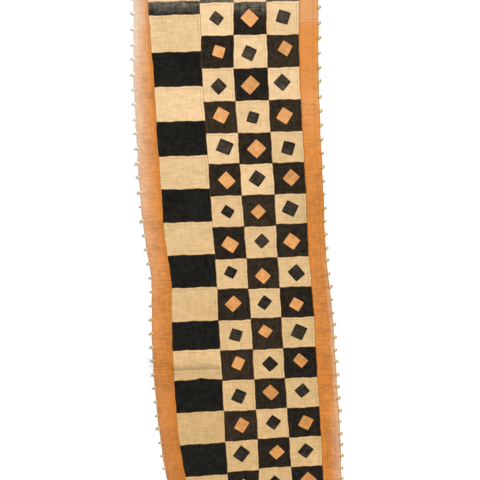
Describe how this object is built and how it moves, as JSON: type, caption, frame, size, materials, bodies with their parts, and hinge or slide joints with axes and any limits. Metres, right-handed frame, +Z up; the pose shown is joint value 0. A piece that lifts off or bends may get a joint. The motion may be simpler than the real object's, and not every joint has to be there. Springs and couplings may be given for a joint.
{
  "type": "kuba raffia cloth",
  "caption": "Long pieced raffia wrapper cloth laid flat: a chequered field with sewn-on diamonds, a strip of blocks, plain side borders and bobble edgings.",
  "frame": {"origin": "middle of the part's footprint, on the surface that the cloth lies on", "axes": "+Z up out of the cloth's face, +Y along the cloth towards its top hem, +X across it towards the border beside the squares"},
  "size_m": [0.7713, 1.9555, 0.0075],
  "materials": {
    "cream_raffia": "plain woven undyed leaf fibre, matt, finely streaked",
    "black_raffia": "plain woven leaf fibre dyed black, matt",
    "brown_black_raffia": "plain woven leaf fibre dyed brown-black, matt",
    "tan_raffia": "plain woven leaf fibre dyed orange-tan, matt",
    "orange_raffia": "plain woven leaf fibre dyed rust-orange, matt, streaked across",
    "bobble_raffia": "knotted leaf fibre tufts, dull greenish gold"
  },
  "bodies": {
    "root": {"border_left": "orange_raffia", "border_right": "orange_raffia", "bobbles_left": "bobble_raffia", "bobbles_right": "bobble_raffia", "block_strip": "black_raffia", "square_strip_1": "cream_raffia", "square_strip_2": "cream_raffia", "square_strip_3": "cream_raffia", "diamond_01_a": "tan_raffia", "diamond_02_a": "brown_black_raffia", "diamond_03_a": "tan_raffia", "diamond_04_a": "brown_black_raffia", "diamond_05_a": "tan_raffia", "diamond_06_a": "brown_black_raffia", "diamond_07_a": "tan_raffia", "diamond_08_a": "brown_black_raffia", "diamond_09_a": "tan_raffia", "diamond_10_a": "brown_black_raffia", "diamond_11_a": "tan_raffia", "diamond_12_a": "brown_black_raffia", "diamond_13_a": "tan_raffia", "diamond_14_a": "brown_black_raffia", "diamond_15_a": "tan_raffia", "diamond_16_a": "brown_black_raffia", "diamond_17_a": "tan_raffia", "diamond_01_b": "brown_black_raffia", "diamond_02_b": "tan_raffia", "diamond_03_b": "brown_black_raffia", "diamond_04_b": "tan_raffia", "diamond_05_b": "brown_black_raffia", "diamond_06_b": "tan_raffia", "diamond_07_b": "brown_black_raffia", "diamond_08_b": "tan_raffia", "diamond_09_b": "brown_black_raffia", "diamond_10_b": "tan_raffia", "diamond_11_b": "brown_black_raffia", "diamond_12_b": "tan_raffia", "diamond_13_b": "brown_black_raffia", "diamond_14_b": "tan_raffia", "diamond_15_b": "brown_black_raffia", "diamond_16_b": "tan_raffia", "diamond_17_b": "brown_black_raffia", "diamond_01_c": "tan_raffia", "diamond_02_c": "brown_black_raffia", "diamond_03_c": "tan_raffia", "diamond_04_c": "brown_black_raffia", "diamond_05_c": "tan_raffia", "diamond_06_c": "brown_black_raffia", "diamond_07_c": "tan_raffia", "diamond_08_c": "brown_black_raffia", "diamond_09_c": "tan_raffia", "diamond_10_c": "brown_black_raffia", "diamond_11_c": "tan_raffia", "diamond_12_c": "brown_black_raffia", "diamond_13_c": "tan_raffia", "diamond_14_c": "brown_black_raffia", "diamond_15_c": "tan_raffia", "diamond_16_c": "brown_black_raffia", "diamond_17_c": "tan_raffia"}
  },
  "joints": []
}
